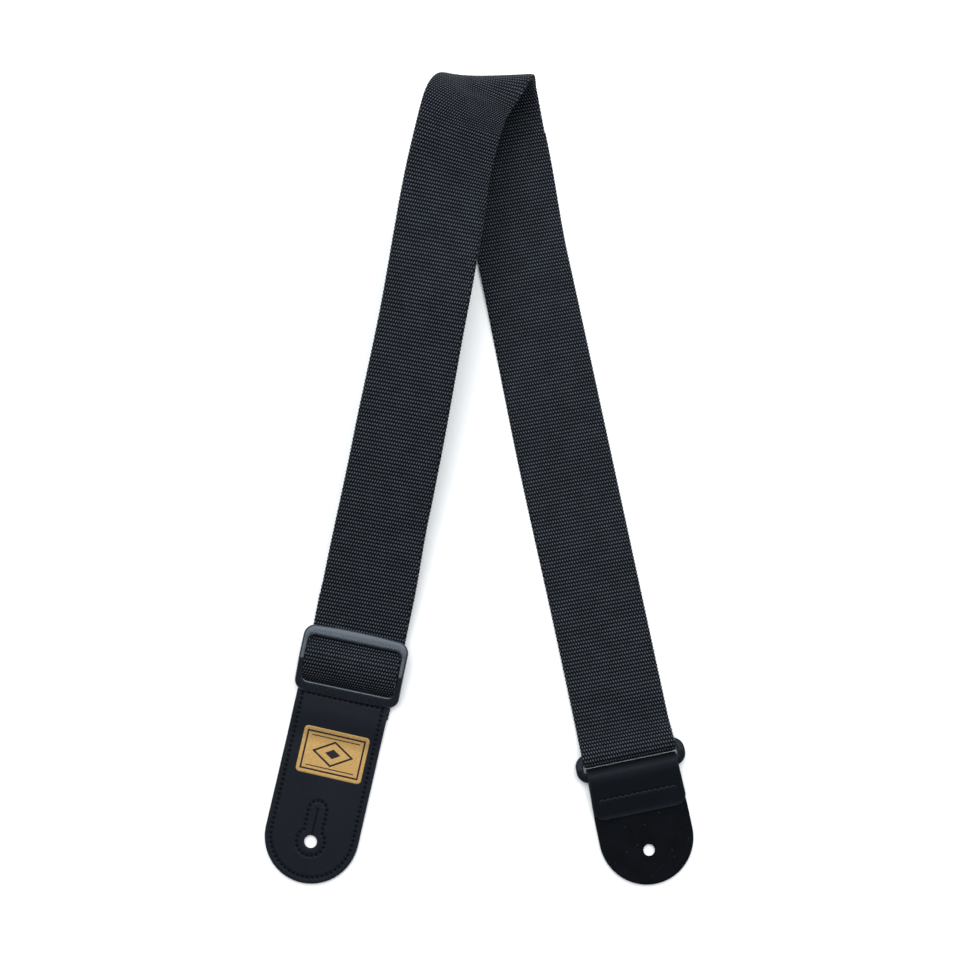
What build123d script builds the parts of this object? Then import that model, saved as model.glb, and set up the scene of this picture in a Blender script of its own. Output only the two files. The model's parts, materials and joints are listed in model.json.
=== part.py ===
"""Guitar strap: doubled webbing with a sliding adjuster, an end ring and two leather tabs.

The strap lies on a table, folded over in its middle. The right leg lies flat, the fold stands up
as an open loop, and the left leg comes down from the loop to the adjuster. +Y points along the
strap towards the fold, +Z up, and the origin is under the middle of the whole outline.
"""

import os
from math import asin, cos, pi, radians, sin, tan

from build123d import *

os.makedirs("parts", exist_ok=True)

# Webbing
webbing_width = 50.0
webbing_thickness = 1.4
layer_gap = 0.3
layer_offset = (webbing_thickness + layer_gap) / 2

# The lay: where the right leg leaves the table, and how the fold turns
fold_x = 10.715
fold_y = 196.145
fold_angle = 11.4
lower_radius = 22.0
upper_radius = 38.0
crown_radius = 250.0
crown_turn = 12.6
left_swing = 0.35
section_step = 15
fold_lead = 6.0
slider_height = 4.45

# Leather and suede
face_thickness = 1.3
backing_thickness = 1.2
tab_width = 50.5
tab_radius = tab_width / 2
stitch_inset = 3.2
stitch_width = 0.5
stitch_height = 0.25
button_hole_radius = 3.5
slit_length = 17.0
slit_width = 0.8
slit_end_radius = 0.6
left_hole_past_centre = 3.4
right_hole_past_centre = 7.3
slit_stitch_radius = 7.5
slit_stitch_half_gap = 4.9

# Left tab, measured from the row of stitches across it
left_stitch_from_slider = 19.6
left_tab_offset = -1.2
left_tab_skew = 0.7
left_tab_above_stitch = 5.0
left_tab_straight = 73.7
webbing_past_stitch = 6.0
step_length = 7.0
emblem_width = 36.0
emblem_height = 25.0
emblem_below_stitch = 29.7
emblem_offset = 1.2
foil_thickness = 0.12

# Adjuster: a three-bar slide
slider_width = 57.2
slider_length = 35.9
slider_window_width = 51.2
slider_window_length = 24.9
slider_window_shift = 0.3
slider_window_corner = 3.0
slider_corner = 5.6
slider_arch = 1.3
slider_bottom = 4.2
slider_ridge = 8.8
slider_edge = 7.4
slider_bar_width = 5.0
slider_bar_low = 4.9
slider_bar_high = 7.3
slider_bar_corner = 0.8
bar_overlap = 0.5

# Front strand past the adjuster, and its hump over the middle bar
leg_straight_past_bar = 4.0
flat_before_stitch = 8.0
leg_bend_radius = 12.0
hump_start = -17.0
hump_rise = -9.4
hump_crest = 6.2
hump_drop = 8.2
hump_end = 14.0
hump_bend_radius = 2.0
strand_gap = 0.3

# Sewn end of the return layer
wrap_clearance = 0.1
wrap_corner = 0.9
tail_length = 34.0
tail_below = 2.0
return_end = 4.0
thread_width = 0.6
stitch_box_width = 42.0
stitch_box_length = 22.0
stitch_box_setback = 3.0
stitch_cross_length = 40.0
stitch_cross_angle = 28.0

# End ring, and the loops round its two bars
ring_distance = 357.2
ring_width = 59.4
ring_length = 14.9
ring_thickness = 3.6
ring_edge_thickness = 3.0
ring_bar_width = 5.0
ring_window_width = 51.2
ring_corner = 6.4
bar_clearance_radius = 2.95
wrap_run = 15.0
wrap_flat = 3.0

# Right tab, measured from the ring's lower bar
neck_width = 49.0
neck_length = 2.0
neck_flare = 22.0
right_tab_straight = 36.3
flap_stitch = 12.5
flap_length = 23.5
flap_corner = 5.0
flap_drop_length = 9.0


def save(builder, name):
    """Labels a finished piece and writes its STEP file."""
    builder.part.label = name
    export_step(builder.part, f"parts/{name}.step")


# ---------------------------------------------------------------- directions and planes
up = Vector(0, 0, 1)
fold_point = Vector(fold_x, fold_y, 0)
fold_slant = radians(fold_angle)
right_down = Vector(sin(fold_slant), -cos(fold_slant), 0)
right_across = Vector(cos(fold_slant), sin(fold_slant), 0)
right_side = Plane(origin=fold_point, x_dir=right_down, z_dir=-right_across)
mid_height = webbing_thickness + layer_gap / 2


def fold_profile(turn):
    """Y, Z and developed length of the surface between the two layers, where it has turned that far."""
    angle = radians(turn)
    if turn <= 90:
        centre_y, centre_z, radius = 0.0, mid_height + lower_radius, lower_radius
        length = lower_radius * angle
    elif turn <= 180:
        centre_y, centre_z = lower_radius - upper_radius, mid_height + lower_radius
        radius = upper_radius
        length = lower_radius * pi / 2 + upper_radius * (angle - pi / 2)
    else:
        centre_y = lower_radius - upper_radius
        centre_z = mid_height + lower_radius + upper_radius - crown_radius
        radius = crown_radius
        length = (lower_radius + upper_radius) * pi / 2 + crown_radius * (angle - pi)
    return centre_y + radius * sin(angle), centre_z - radius * cos(angle), length


def fold_section(turn):
    """Plane and width of the fold's section where it has turned that far, y pointing outward.

    The rulings run along X up to the crown. Over it the strip turns by left_swing about the
    vertical, and its rulings come round square to the left leg.
    """
    angle = radians(turn)
    y, z, length = fold_profile(turn)
    swing = max(0.0, (turn - 180) / crown_turn)
    travel = Vector(-sin(fold_slant), cos(fold_slant) * cos(angle), cos(fold_slant) * sin(angle))
    travel = travel.rotate(Axis.Z, -left_swing * swing)
    ruling = Vector(1, 0, 0) * (1 - swing) + up.cross(travel).normalized() * swing
    ruling = ruling.normalized()
    normal = travel.cross(ruling)
    centre = fold_point + Vector(-length * tan(fold_slant), y, z)
    section = Plane(origin=centre, x_dir=ruling, z_dir=ruling.cross(normal))
    return section, webbing_width / normal.length


start_section = Plane(
    origin=fold_point + right_down * fold_lead + up * mid_height,
    x_dir=right_across,
    z_dir=-right_down,
)
fold_end, _ = fold_section(180 + crown_turn)
left_down = fold_end.z_dir
left_across = fold_end.x_dir
left_up = fold_end.y_dir
left_slope = asin(-left_down.Z)
left_run = (fold_end.origin.Z - slider_height) / sin(left_slope)
slider_centre = fold_end.origin + left_down * left_run
left_plan = Vector(left_down.X, left_down.Y, 0).normalized()
left_side = Plane(
    origin=Vector(slider_centre.X, slider_centre.Y, 0), x_dir=left_plan, z_dir=-left_across
)
slider_side = Plane(origin=slider_centre, x_dir=left_down, z_dir=-left_across)
slider_face = Plane(origin=slider_centre, x_dir=left_across, z_dir=left_up)


def on_leg(along, above):
    """A point of the left leg, down the leg from the slider and above its middle, in left_side."""
    return (
        along * cos(left_slope) + above * sin(left_slope),
        slider_height - along * sin(left_slope) + above * cos(left_slope),
    )


# ---------------------------------------------------------------- webbing
def strip(path_plane, points, radii=None, width=webbing_width):
    """A strip of webbing that follows a line of points in a side plane, with rounded bends."""
    with BuildPart() as piece:
        with BuildSketch(path_plane):
            with BuildLine():
                if radii:
                    FilletPolyline(*points, radius=radii)
                else:
                    Line(*points)
            trace(line_width=webbing_thickness)
        extrude(amount=width / 2, both=True)
    return piece


def fold_layer(outward):
    """One layer of the fold, as a ruled loft through its sections."""
    turns = [*range(0, 181, section_step), 180 + crown_turn / 2, 180 + crown_turn]
    sections = [(start_section, webbing_width)] + [fold_section(turn) for turn in turns]
    with BuildPart() as piece:
        for section, width in sections:
            origin = section.origin + section.y_dir * outward
            with BuildSketch(Plane(origin=origin, x_dir=section.x_dir, z_dir=section.z_dir)):
                Rectangle(width, webbing_thickness)
        loft(ruled=True)
    return piece


bar_axis_height = bar_clearance_radius + webbing_thickness
wrap_radius = bar_clearance_radius + webbing_thickness / 2
bar_offset = (ring_length - ring_bar_width) / 2
upper_bar = ring_distance - bar_offset
lower_bar = ring_distance + bar_offset
wrap_start = upper_bar - wrap_run - wrap_flat
inner_level = 1.5 * webbing_thickness + layer_gap
tab_top_level = backing_thickness + webbing_thickness / 2

webbing_front_left = strip(
    left_side,
    [
        on_leg(-left_run, layer_offset),
        on_leg(leg_straight_past_bar, layer_offset),
        (left_stitch_from_slider - flat_before_stitch, tab_top_level),
        (left_stitch_from_slider + webbing_past_stitch, tab_top_level),
    ],
    radii=leg_bend_radius,
)
webbing_return_left = strip(left_side, [on_leg(-left_run, -layer_offset), on_leg(-return_end, -layer_offset)])
webbing_fold_outer = fold_layer(layer_offset)
webbing_fold_inner = fold_layer(-layer_offset)
webbing_right_outer = strip(
    right_side, [(fold_lead, webbing_thickness / 2), (wrap_start - layer_gap, webbing_thickness / 2)]
)
webbing_right_inner = strip(
    right_side, [(fold_lead + layer_gap, inner_level), (wrap_start, inner_level)]
)

with BuildPart() as webbing_ring_wrap:
    with BuildSketch(right_side):
        with BuildLine():
            low = webbing_thickness / 2
            high = bar_axis_height + wrap_radius
            Line((wrap_start, low), (upper_bar, low))
            ThreePointArc((upper_bar, low), (upper_bar + wrap_radius, bar_axis_height), (upper_bar, high))
            halfway = (upper_bar - wrap_run / 2, (high + inner_level) / 2)
            drop_end = (upper_bar - wrap_run, inner_level)
            TangentArc((upper_bar, high), halfway, tangent=(-1, 0))
            TangentArc(drop_end, halfway, tangent=(1, 0))
            Line(drop_end, (wrap_start, inner_level))
        trace(line_width=webbing_thickness)
    extrude(amount=webbing_width / 2, both=True)

save(webbing_front_left, "webbing_front_left")
save(webbing_return_left, "webbing_return_left")
save(webbing_fold_outer, "webbing_fold_outer")
save(webbing_fold_inner, "webbing_fold_inner")
save(webbing_right_outer, "webbing_right_outer")
save(webbing_right_inner, "webbing_right_inner")
save(webbing_ring_wrap, "webbing_ring_wrap")

# ---------------------------------------------------------------- adjuster and what is sewn to it

with BuildPart() as slider_frame:
    half = slider_length / 2
    with BuildSketch(slider_side):
        with BuildLine():
            Polyline(
                (-half - slider_arch, slider_bottom),
                (half + slider_arch, slider_bottom),
                (half + slider_arch, slider_edge),
                (0, slider_ridge),
                (-half - slider_arch, slider_edge),
                close=True,
            )
        make_face()
    extrude(amount=slider_width / 2, both=True)
    with BuildSketch(slider_face):
        with BuildLine():
            side = slider_width / 2
            ThreePointArc((-side, half), (0, half + slider_arch), (side, half))
            Line((side, half), (side, -half))
            ThreePointArc((side, -half), (0, -half - slider_arch / 2), (-side, -half))
            Line((-side, -half), (-side, half))
        make_face()
        fillet(vertices(), slider_corner)
    extrude(amount=2 * slider_ridge, mode=Mode.INTERSECT)
    with BuildSketch(slider_face):
        with Locations((0, slider_window_shift)):
            RectangleRounded(slider_window_width, slider_window_length, slider_window_corner)
    extrude(amount=2 * slider_ridge, mode=Mode.SUBTRACT)
    with BuildSketch(slider_side):
        with Locations((0, (slider_bar_low + slider_bar_high) / 2)):
            RectangleRounded(slider_bar_width, slider_bar_high - slider_bar_low, slider_bar_corner)
    extrude(amount=slider_window_width / 2 + bar_overlap, both=True)

with BuildPart() as webbing_return_loop:
    with BuildSketch(slider_side):
        with Locations((0, (slider_bar_low + slider_bar_high) / 2)):
            inner_width = slider_bar_width + 2 * wrap_clearance
            inner_height = slider_bar_high - slider_bar_low + 2 * wrap_clearance
            outer_width = inner_width + 2 * webbing_thickness
            outer_height = inner_height + 2 * webbing_thickness
            RectangleRounded(outer_width, outer_height, wrap_corner + webbing_thickness)
            RectangleRounded(inner_width, inner_height, wrap_corner, mode=Mode.SUBTRACT)
    extrude(amount=webbing_width / 2, both=True)

loop_top = slider_bar_high + wrap_clearance + webbing_thickness
hump_top = loop_top + wrap_clearance + webbing_thickness / 2
hump_foot = slider_bottom - wrap_clearance - webbing_thickness / 2 - strand_gap
webbing_slider_hump = strip(
    slider_side,
    [
        (hump_start, hump_foot),
        (hump_rise, hump_foot),
        (-hump_crest, hump_top),
        (hump_crest, hump_top),
        (hump_drop, hump_foot),
        (hump_end, hump_foot),
    ],
    radii=hump_bend_radius,
)

tail_level = -layer_offset - layer_gap - webbing_thickness
webbing_return_tail = strip(left_side, [on_leg(-tail_length, tail_level), on_leg(tail_below, tail_level)])

with BuildPart() as tail_stitching:
    stitch_plane = Plane(
        origin=slider_centre + left_up * (tail_level - webbing_thickness / 2),
        x_dir=left_across,
        z_dir=-left_up,
    )
    with BuildSketch(stitch_plane):
        with Locations((0, -tail_length / 2 - stitch_box_setback)):
            Rectangle(stitch_box_width, stitch_box_length)
            Rectangle(
                stitch_box_width - 2 * thread_width,
                stitch_box_length - 2 * thread_width,
                mode=Mode.SUBTRACT,
            )
            Rectangle(stitch_cross_length, thread_width, rotation=stitch_cross_angle)
            Rectangle(stitch_cross_length, thread_width, rotation=-stitch_cross_angle)
    extrude(amount=stitch_height)

save(slider_frame, "slider_frame")
save(webbing_return_loop, "webbing_return_loop")
save(webbing_slider_hump, "webbing_slider_hump")
save(webbing_return_tail, "webbing_return_tail")
save(tail_stitching, "tail_stitching")

# ---------------------------------------------------------------- left tab
left_tab_origin = (
    Vector(slider_centre.X, slider_centre.Y, 0)
    + left_plan * left_stitch_from_slider
    + left_across * left_tab_offset
)
tab_down = left_plan.rotate(Axis.Z, -left_tab_skew)
tab_across = Vector(-tab_down.Y, tab_down.X, 0)
left_tab_plane = Plane(origin=left_tab_origin, x_dir=tab_across, z_dir=up)
left_tab_side = Plane(origin=left_tab_origin, x_dir=tab_down, z_dir=-tab_across)
left_hole_y = -left_tab_straight - left_hole_past_centre


def level(plane, height):
    """That plane, moved up."""
    return plane.offset(height)


def left_outline():
    """The left tab's outline: parallel sides and a round end."""
    with Locations((0, (left_tab_above_stitch - left_tab_straight) / 2)):
        Rectangle(tab_width, left_tab_above_stitch + left_tab_straight)
    with Locations((0, -left_tab_straight)):
        Circle(tab_radius)


def button_hole(hole_y):
    """The hole for a strap button, with the slit that lets the button's head through."""
    with Locations((0, hole_y)):
        Circle(button_hole_radius)
    with Locations((0, hole_y + slit_length / 2)):
        Rectangle(slit_width, slit_length)
    with Locations((0, hole_y + slit_length)):
        Circle(slit_end_radius)


def edge_stitch_line(start_y, centre_y):
    """A stitch line down one side, round the end and up the other."""
    inner = tab_radius - stitch_inset
    with BuildLine() as path:
        Line((-inner, start_y), (-inner, centre_y))
        ThreePointArc((-inner, centre_y), (0, centre_y - inner), (inner, centre_y))
        Line((inner, centre_y), (inner, start_y))
    trace(path.edges(), line_width=stitch_width)


def slit_stitch_line(hole_y, covered_y=None):
    """A keyhole-shaped stitch line round the button hole and its slit, open where a flap covers it."""
    gap = slit_stitch_half_gap
    joint_y = hole_y + (slit_stitch_radius**2 - gap**2) ** 0.5
    top_y = covered_y or hole_y + slit_length
    with BuildLine() as path:
        ThreePointArc((-gap, joint_y), (0, hole_y - slit_stitch_radius), (gap, joint_y))
        Line((gap, joint_y), (gap, top_y))
        Line((-gap, top_y), (-gap, joint_y))
        if covered_y is None:
            ThreePointArc((gap, top_y), (0, top_y + gap), (-gap, top_y))
    trace(path.edges(), line_width=stitch_width)


face_low = backing_thickness
face_high = backing_thickness + webbing_thickness
tab_surface = face_low + face_thickness

with BuildPart() as left_tab_backing:
    with BuildSketch(left_tab_plane):
        left_outline()
    extrude(amount=backing_thickness)
    with BuildSketch(left_tab_plane):
        button_hole(left_hole_y)
    extrude(amount=backing_thickness, mode=Mode.SUBTRACT)

with BuildPart() as left_tab_face:
    with BuildSketch(left_tab_side):
        with BuildLine():
            half_thickness = face_thickness / 2
            step_start = (webbing_past_stitch + 0.3, face_high + half_thickness)
            step_end = (step_start[0] + step_length, face_low + half_thickness)
            step_middle = ((step_start[0] + step_end[0]) / 2, (step_start[1] + step_end[1]) / 2)
            Line((-left_tab_above_stitch, step_start[1]), step_start)
            TangentArc(step_start, step_middle, tangent=(1, 0))
            TangentArc(step_end, step_middle, tangent=(-1, 0))
            Line(step_end, (left_tab_straight + tab_radius, step_end[1]))
        trace(line_width=face_thickness)
    extrude(amount=tab_width / 2, both=True)
    with BuildSketch(left_tab_plane):
        left_outline()
    extrude(amount=2 * face_high + face_thickness, mode=Mode.INTERSECT)
    with BuildSketch(left_tab_plane):
        button_hole(left_hole_y)
    extrude(amount=2 * face_high, mode=Mode.SUBTRACT)

stitch_start = -webbing_past_stitch - step_length - 1.0

with BuildPart() as left_edge_stitching:
    with BuildSketch(level(left_tab_plane, tab_surface)):
        edge_stitch_line(stitch_start, -left_tab_straight)
    extrude(amount=stitch_height)

with BuildPart() as left_cross_stitching:
    with BuildSketch(level(left_tab_plane, face_high + face_thickness)):
        Rectangle(2 * (tab_radius - stitch_inset), stitch_width)
    extrude(amount=stitch_height)

with BuildPart() as left_slit_stitching:
    with BuildSketch(level(left_tab_plane, tab_surface)):
        slit_stitch_line(left_hole_y)
    extrude(amount=stitch_height)

with BuildPart() as emblem_foil:
    with BuildSketch(level(left_tab_plane, tab_surface)):
        with Locations((emblem_offset, -emblem_below_stitch)):
            RectangleRounded(emblem_width, emblem_height, 4.0)
    extrude(amount=foil_thickness)

save(left_tab_backing, "left_tab_backing")
save(left_tab_face, "left_tab_face")
save(left_edge_stitching, "left_edge_stitching")
save(left_cross_stitching, "left_cross_stitching")
save(left_slit_stitching, "left_slit_stitching")
save(emblem_foil, "emblem_foil")

# ---------------------------------------------------------------- end ring
ring_origin = fold_point + right_down * ring_distance
ring_face = Plane(origin=ring_origin, x_dir=right_across, z_dir=up)
ring_side = Plane(origin=ring_origin, x_dir=right_down, z_dir=-right_across)

with BuildPart() as end_ring:
    ring_half = ring_length / 2
    with BuildSketch(ring_side):
        with BuildLine():
            Polyline(
                (-ring_half, bar_axis_height - ring_edge_thickness / 2),
                (0, bar_axis_height - ring_thickness / 2),
                (ring_half, bar_axis_height - ring_edge_thickness / 2),
                (ring_half, bar_axis_height + ring_edge_thickness / 2),
                (0, bar_axis_height + ring_thickness / 2),
                (-ring_half, bar_axis_height + ring_edge_thickness / 2),
                close=True,
            )
        make_face()
    extrude(amount=ring_width / 2, both=True)
    with BuildSketch(ring_face):
        RectangleRounded(ring_width, ring_length, ring_corner)
        RectangleRounded(ring_window_width, ring_length - 2 * ring_bar_width, 1.2, mode=Mode.SUBTRACT)
    extrude(amount=3 * bar_axis_height, mode=Mode.INTERSECT)
    long_edges = edges().filter_by(Axis(ring_origin, right_across)).filter_by(
        lambda edge: abs(abs((edge.center() - ring_origin).dot(right_down)) - bar_offset)
        > ring_bar_width / 2 - 0.1
    )
    fillet(long_edges, 1.1)

save(end_ring, "end_ring")

# ---------------------------------------------------------------- right tab
tab_origin = fold_point + right_down * lower_bar
right_tab_plane = Plane(origin=tab_origin, x_dir=right_across, z_dir=up)
right_tab_side = Plane(origin=tab_origin, x_dir=right_down, z_dir=-right_across)
leather_radius = bar_clearance_radius + webbing_thickness - face_thickness / 2
flap_level = face_thickness + backing_thickness + face_thickness / 2
right_surface = face_thickness + backing_thickness
right_hole_y = -right_tab_straight - right_hole_past_centre


def right_outline():
    """The right tab's outline: a narrow neck, straight sides and a round end."""
    reach = bar_clearance_radius + webbing_thickness
    with BuildLine() as outline:
        Polyline(
            (-neck_width / 2, reach),
            (-neck_width / 2, -neck_length),
            (-tab_radius, -neck_length - neck_flare),
            (-tab_radius, -right_tab_straight),
        )
        ThreePointArc(
            (-tab_radius, -right_tab_straight),
            (0, -right_tab_straight - tab_radius),
            (tab_radius, -right_tab_straight),
        )
        Polyline(
            (tab_radius, -right_tab_straight),
            (tab_radius, -neck_length - neck_flare),
            (neck_width / 2, -neck_length),
            (neck_width / 2, reach),
            (-neck_width / 2, reach),
        )
    make_face(outline.edges())


with BuildPart() as right_tab_face:
    with BuildSketch(right_tab_side):
        with BuildLine():
            low = face_thickness / 2
            high = bar_axis_height + leather_radius
            Line((right_tab_straight + tab_radius, low), (0, low))
            ThreePointArc((0, low), (-(high - low) / 2, (high + low) / 2), (0, high))
            halfway = (flap_drop_length / 2, (high + flap_level) / 2)
            drop_end = (flap_drop_length, flap_level)
            TangentArc((0, high), halfway, tangent=(1, 0))
            TangentArc(drop_end, halfway, tangent=(-1, 0))
            Line(drop_end, (flap_length, flap_level))
        trace(line_width=face_thickness)
    extrude(amount=tab_width / 2, both=True)
    with BuildSketch(right_tab_plane):
        right_outline()
    extrude(amount=4 * bar_axis_height, mode=Mode.INTERSECT)
    flap_end = edges().filter_by(Axis.Z).filter_by(
        lambda edge: abs((edge.center() - tab_origin).dot(right_down) - flap_length) < 0.1
    )
    fillet(flap_end, flap_corner)
    with BuildSketch(right_tab_plane):
        button_hole(right_hole_y)
    extrude(amount=face_thickness, mode=Mode.SUBTRACT)

with BuildPart() as right_tab_backing:
    with BuildSketch(level(right_tab_plane, face_thickness)):
        right_outline()
        with Locations((0, 0)):
            Rectangle(2 * tab_width, 2 * flap_drop_length, mode=Mode.SUBTRACT)
    extrude(amount=backing_thickness)
    with BuildSketch(level(right_tab_plane, face_thickness)):
        button_hole(right_hole_y)
    extrude(amount=backing_thickness, mode=Mode.SUBTRACT)

with BuildPart() as right_edge_stitching:
    with BuildSketch(level(right_tab_plane, right_surface)):
        edge_stitch_line(-flap_length - 1.0, -right_tab_straight)
    extrude(amount=stitch_height)

with BuildPart() as right_flap_stitching:
    with BuildSketch(level(right_tab_plane, flap_level + face_thickness / 2)):
        with Locations((0, -flap_stitch)):
            Rectangle(2 * (tab_radius - stitch_inset) - 2.0, 2 * stitch_width)
    extrude(amount=stitch_height)

with BuildPart() as right_slit_stitching:
    with BuildSketch(level(right_tab_plane, right_surface)):
        slit_stitch_line(right_hole_y, covered_y=-flap_length - 1.0)
    extrude(amount=stitch_height)

save(right_tab_face, "right_tab_face")
save(right_tab_backing, "right_tab_backing")
save(right_edge_stitching, "right_edge_stitching")
save(right_flap_stitching, "right_flap_stitching")
save(right_slit_stitching, "right_slit_stitching")

print("slider centre", slider_centre, "slide axis", -left_down)
print("ring bar", fold_point + right_down * upper_bar, "tab bar", tab_origin, "height", bar_axis_height)
print("left hole", left_tab_origin - tab_down * left_hole_y)
print("right hole", tab_origin - right_down * right_hole_y)
print("right axes", right_down, right_across)
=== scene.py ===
"""Looks of the guitar strap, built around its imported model. Lengths are in mm until a mesh is made."""

import json
import math

import bpy
import numpy as np
from mathutils import Matrix, Vector, geometry


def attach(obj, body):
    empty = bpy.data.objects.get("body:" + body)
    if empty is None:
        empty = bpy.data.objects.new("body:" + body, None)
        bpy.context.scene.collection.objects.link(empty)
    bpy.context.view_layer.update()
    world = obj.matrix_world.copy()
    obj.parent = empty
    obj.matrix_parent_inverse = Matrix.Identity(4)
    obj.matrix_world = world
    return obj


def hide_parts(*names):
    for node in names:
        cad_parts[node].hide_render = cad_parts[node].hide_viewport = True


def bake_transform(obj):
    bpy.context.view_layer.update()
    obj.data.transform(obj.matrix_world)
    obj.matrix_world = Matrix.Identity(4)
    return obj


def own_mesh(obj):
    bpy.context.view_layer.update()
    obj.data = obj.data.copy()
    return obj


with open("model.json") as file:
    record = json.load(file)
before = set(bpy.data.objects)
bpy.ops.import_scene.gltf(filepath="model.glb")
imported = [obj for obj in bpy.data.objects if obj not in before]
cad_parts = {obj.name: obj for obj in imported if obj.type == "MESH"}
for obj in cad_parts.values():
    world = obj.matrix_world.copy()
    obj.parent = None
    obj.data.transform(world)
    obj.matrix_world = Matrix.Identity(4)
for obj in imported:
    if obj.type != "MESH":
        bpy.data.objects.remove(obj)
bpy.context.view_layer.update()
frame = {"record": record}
joints = {joint["name"]: joint for joint in frame["record"]["behaviour"]["joints"]}

MM = 0.001
UP = np.array([0.0, 0.0, 1.0])

# ------------------------------------------------------------------ the strap's measures
WIDTH = 50.0  # of the webbing
THICK = 1.4
LAYER = 0.85  # from the surface between the two layers to the middle of each
RIB = 1.985  # one rib of the weave, along the webbing
GRAIN = 1.42  # one grain of a rib, across it
SLANT = math.radians(11.4)  # how far the webbing runs off square to the fold's straight lines
RA, RB, RC = 22.0, 38.0, 250.0  # radii of the fold: up from the floor, over, and down to the left leg
CROWN = math.radians(12.6)  # how far the last of them turns past level
MID = THICK + 0.15  # height of the surface between the layers, on the right leg
LEAD = 6.0  # webbing on the floor that belongs to the fold's pieces
SLIDER_HEIGHT = 4.45  # of the adjuster's middle, above the floor
UPPER_BAR = 352.25  # down the right leg, from the foot of the fold to the ring's bars
LOWER_BAR = 362.15
BAR_HEIGHT = 4.35
WRAP_RUN = 15.0  # over which the webbing climbs to the upper bar
WRAP_START = UPPER_BAR - 18.0
TAB_HALF = 25.25  # half the tabs' width, and the radius of their round ends


def unit(v):
    v = np.asarray(v, float)
    return v / np.linalg.norm(v, axis=-1, keepdims=True)


def rise(x, low, high):
    """A smooth step from 0 at low to 1 at high."""
    x = np.clip((np.asarray(x, float) - low) / (high - low), 0.0, 1.0)
    return x * x * (3 - 2 * x)


def stack(x, y, z):
    """Points from their three coordinates."""
    return np.stack(np.broadcast_arrays(x, y, z), axis=-1).astype(float)


right_down = unit(joints["right_extension"]["axis"])
right_across = np.array([-right_down[1], right_down[0], 0.0])
left_down = -unit(joints["slider_slide"]["axis"])
left_across = unit(np.cross(UP, left_down))
left_up = np.cross(left_down, left_across)
slider_centre = np.array(joints["slider_slide"]["pos_m"]) / MM
ring_pivot = np.array(joints["ring_hinge"]["pos_m"]) / MM
fold_point = ring_pivot - right_down * UPPER_BAR
fold_point[2] = 0.0
left_plan = unit(left_down * [1, 1, 0])
left_slope = math.asin(-left_down[2])

# Where the fold's three arcs end: B square to its straight lines, T along the webbing
B1 = RA * math.pi / 2
B2 = B1 + RB * math.pi / 2
B3 = B2 + RC * CROWN
T1, T2, T3 = (b / math.cos(SLANT) for b in (B1, B2, B3))
LAST = math.pi + CROWN
# The place, across the floor and up from it, where the last arc ends and the straight leg starts
Y3 = RA - RB + RC * math.sin(LAST)
Z3 = MID + RA + RB - RC - RC * math.cos(LAST)
LEFT_RUN = (Z3 - SLIDER_HEIGHT) / math.sin(left_slope)
T_SLIDER = T3 + LEFT_RUN  # where the adjuster's middle is


def fold_curve(b):
    """Y, Z and turn of the surface between the two layers, that far past the foot of the fold."""
    b = np.asarray(b, float)
    turn = np.select([b < B1, b < B2], [b / RA, math.pi / 2 + (b - B1) / RB], math.pi + (b - B2) / RC)
    turn = np.clip(turn, 0.0, LAST)
    sine, cosine = np.sin(turn), np.cos(turn)
    spans = [b < 0, b < B1, b < B2, b < B3]
    y = np.select(
        spans, [b, RA * sine, RA - RB + RB * sine, RA - RB + RC * sine], Y3 + (b - B3) * math.cos(LAST)
    )
    z = np.select(
        spans,
        [0 * b + MID, MID + RA - RA * cosine, MID + RA - RB * cosine, MID + RA + RB - RC - RC * cosine],
        Z3 + (b - B3) * math.sin(LAST),
    )
    return y, z, turn


# How the webbing rolls about its left edge (degrees), sways sideways (mm) and draws in (share of
# its width), at places along it
ROLL = ((T1 - 3, 0.0), (T1 + 30, 24.5), (T2 + 5, 27.0), (T3 + 42, 0.0))
SWAY = ((-80.0, 0.0), (-10.0, 2.2), (18.0, 2.2), (T1 + 3, 4.9), (T2 - 10, 1.7), (T3 - 20, 0.7),
        (T3 + 50, 2.1), (T3 + 120, 1.2), (T_SLIDER - 45, 0.2), (T_SLIDER, 0.0))
DRAWN_IN = ((T1 - 15, 0.0), (T1 + 24, 0.090), (T2 - 2, 0.026), (T3 + 22, 0.086), (T3 + 42, 0.088),
            (T3 + 125, 0.040), (T_SLIDER - 90, 0.032), (T_SLIDER - 42, 0.0))


def through(t, knots):
    """A curve through knots of place and value, level at each of them."""
    value = knots[0][1]
    for (start, before), (end, after) in zip(knots, knots[1:]):
        value = value + (after - before) * rise(t, start, end)
    return value


def strap(s, t, n):
    """Where the webbing lies: s across it, t along it past the foot of the fold, n outward."""
    roll = np.radians(through(t, ROLL))
    q = (s + WIDTH / 2) * (1 - through(t, DRAWN_IN))
    s = q * np.cos(roll) + n * np.sin(roll) - WIDTH / 2 + through(t, SWAY)
    n = n * np.cos(roll) - q * np.sin(roll)
    y, z, turn = fold_curve(t * math.cos(SLANT) + s * math.sin(SLANT))
    x = -t * math.sin(SLANT) + s * math.cos(SLANT)
    ruled = stack(x, y + n * np.sin(turn), z - n * np.cos(turn))
    on_fold = np.minimum(t, T3)
    y, z, turn = fold_curve(on_fold * math.cos(SLANT))
    centre = stack(-on_fold * math.sin(SLANT), y, z) + left_down * (t - on_fold)[..., None]
    weight = rise(t, T2, T3)[..., None]
    travel = stack(
        0 * turn - math.sin(SLANT), math.cos(SLANT) * np.cos(turn), math.cos(SLANT) * np.sin(turn)
    )
    travel = travel * (1 - weight) + left_down * weight
    across = unit(np.cross(UP, travel)) * np.where(turn > math.pi / 2, 1.0, -1.0)[..., None]
    outward = unit(np.cross(travel, across))
    level = centre + across * np.asarray(s)[..., None] + outward * np.asarray(n)[..., None]
    return fold_point + ruled * (1 - weight) + level * weight


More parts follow.
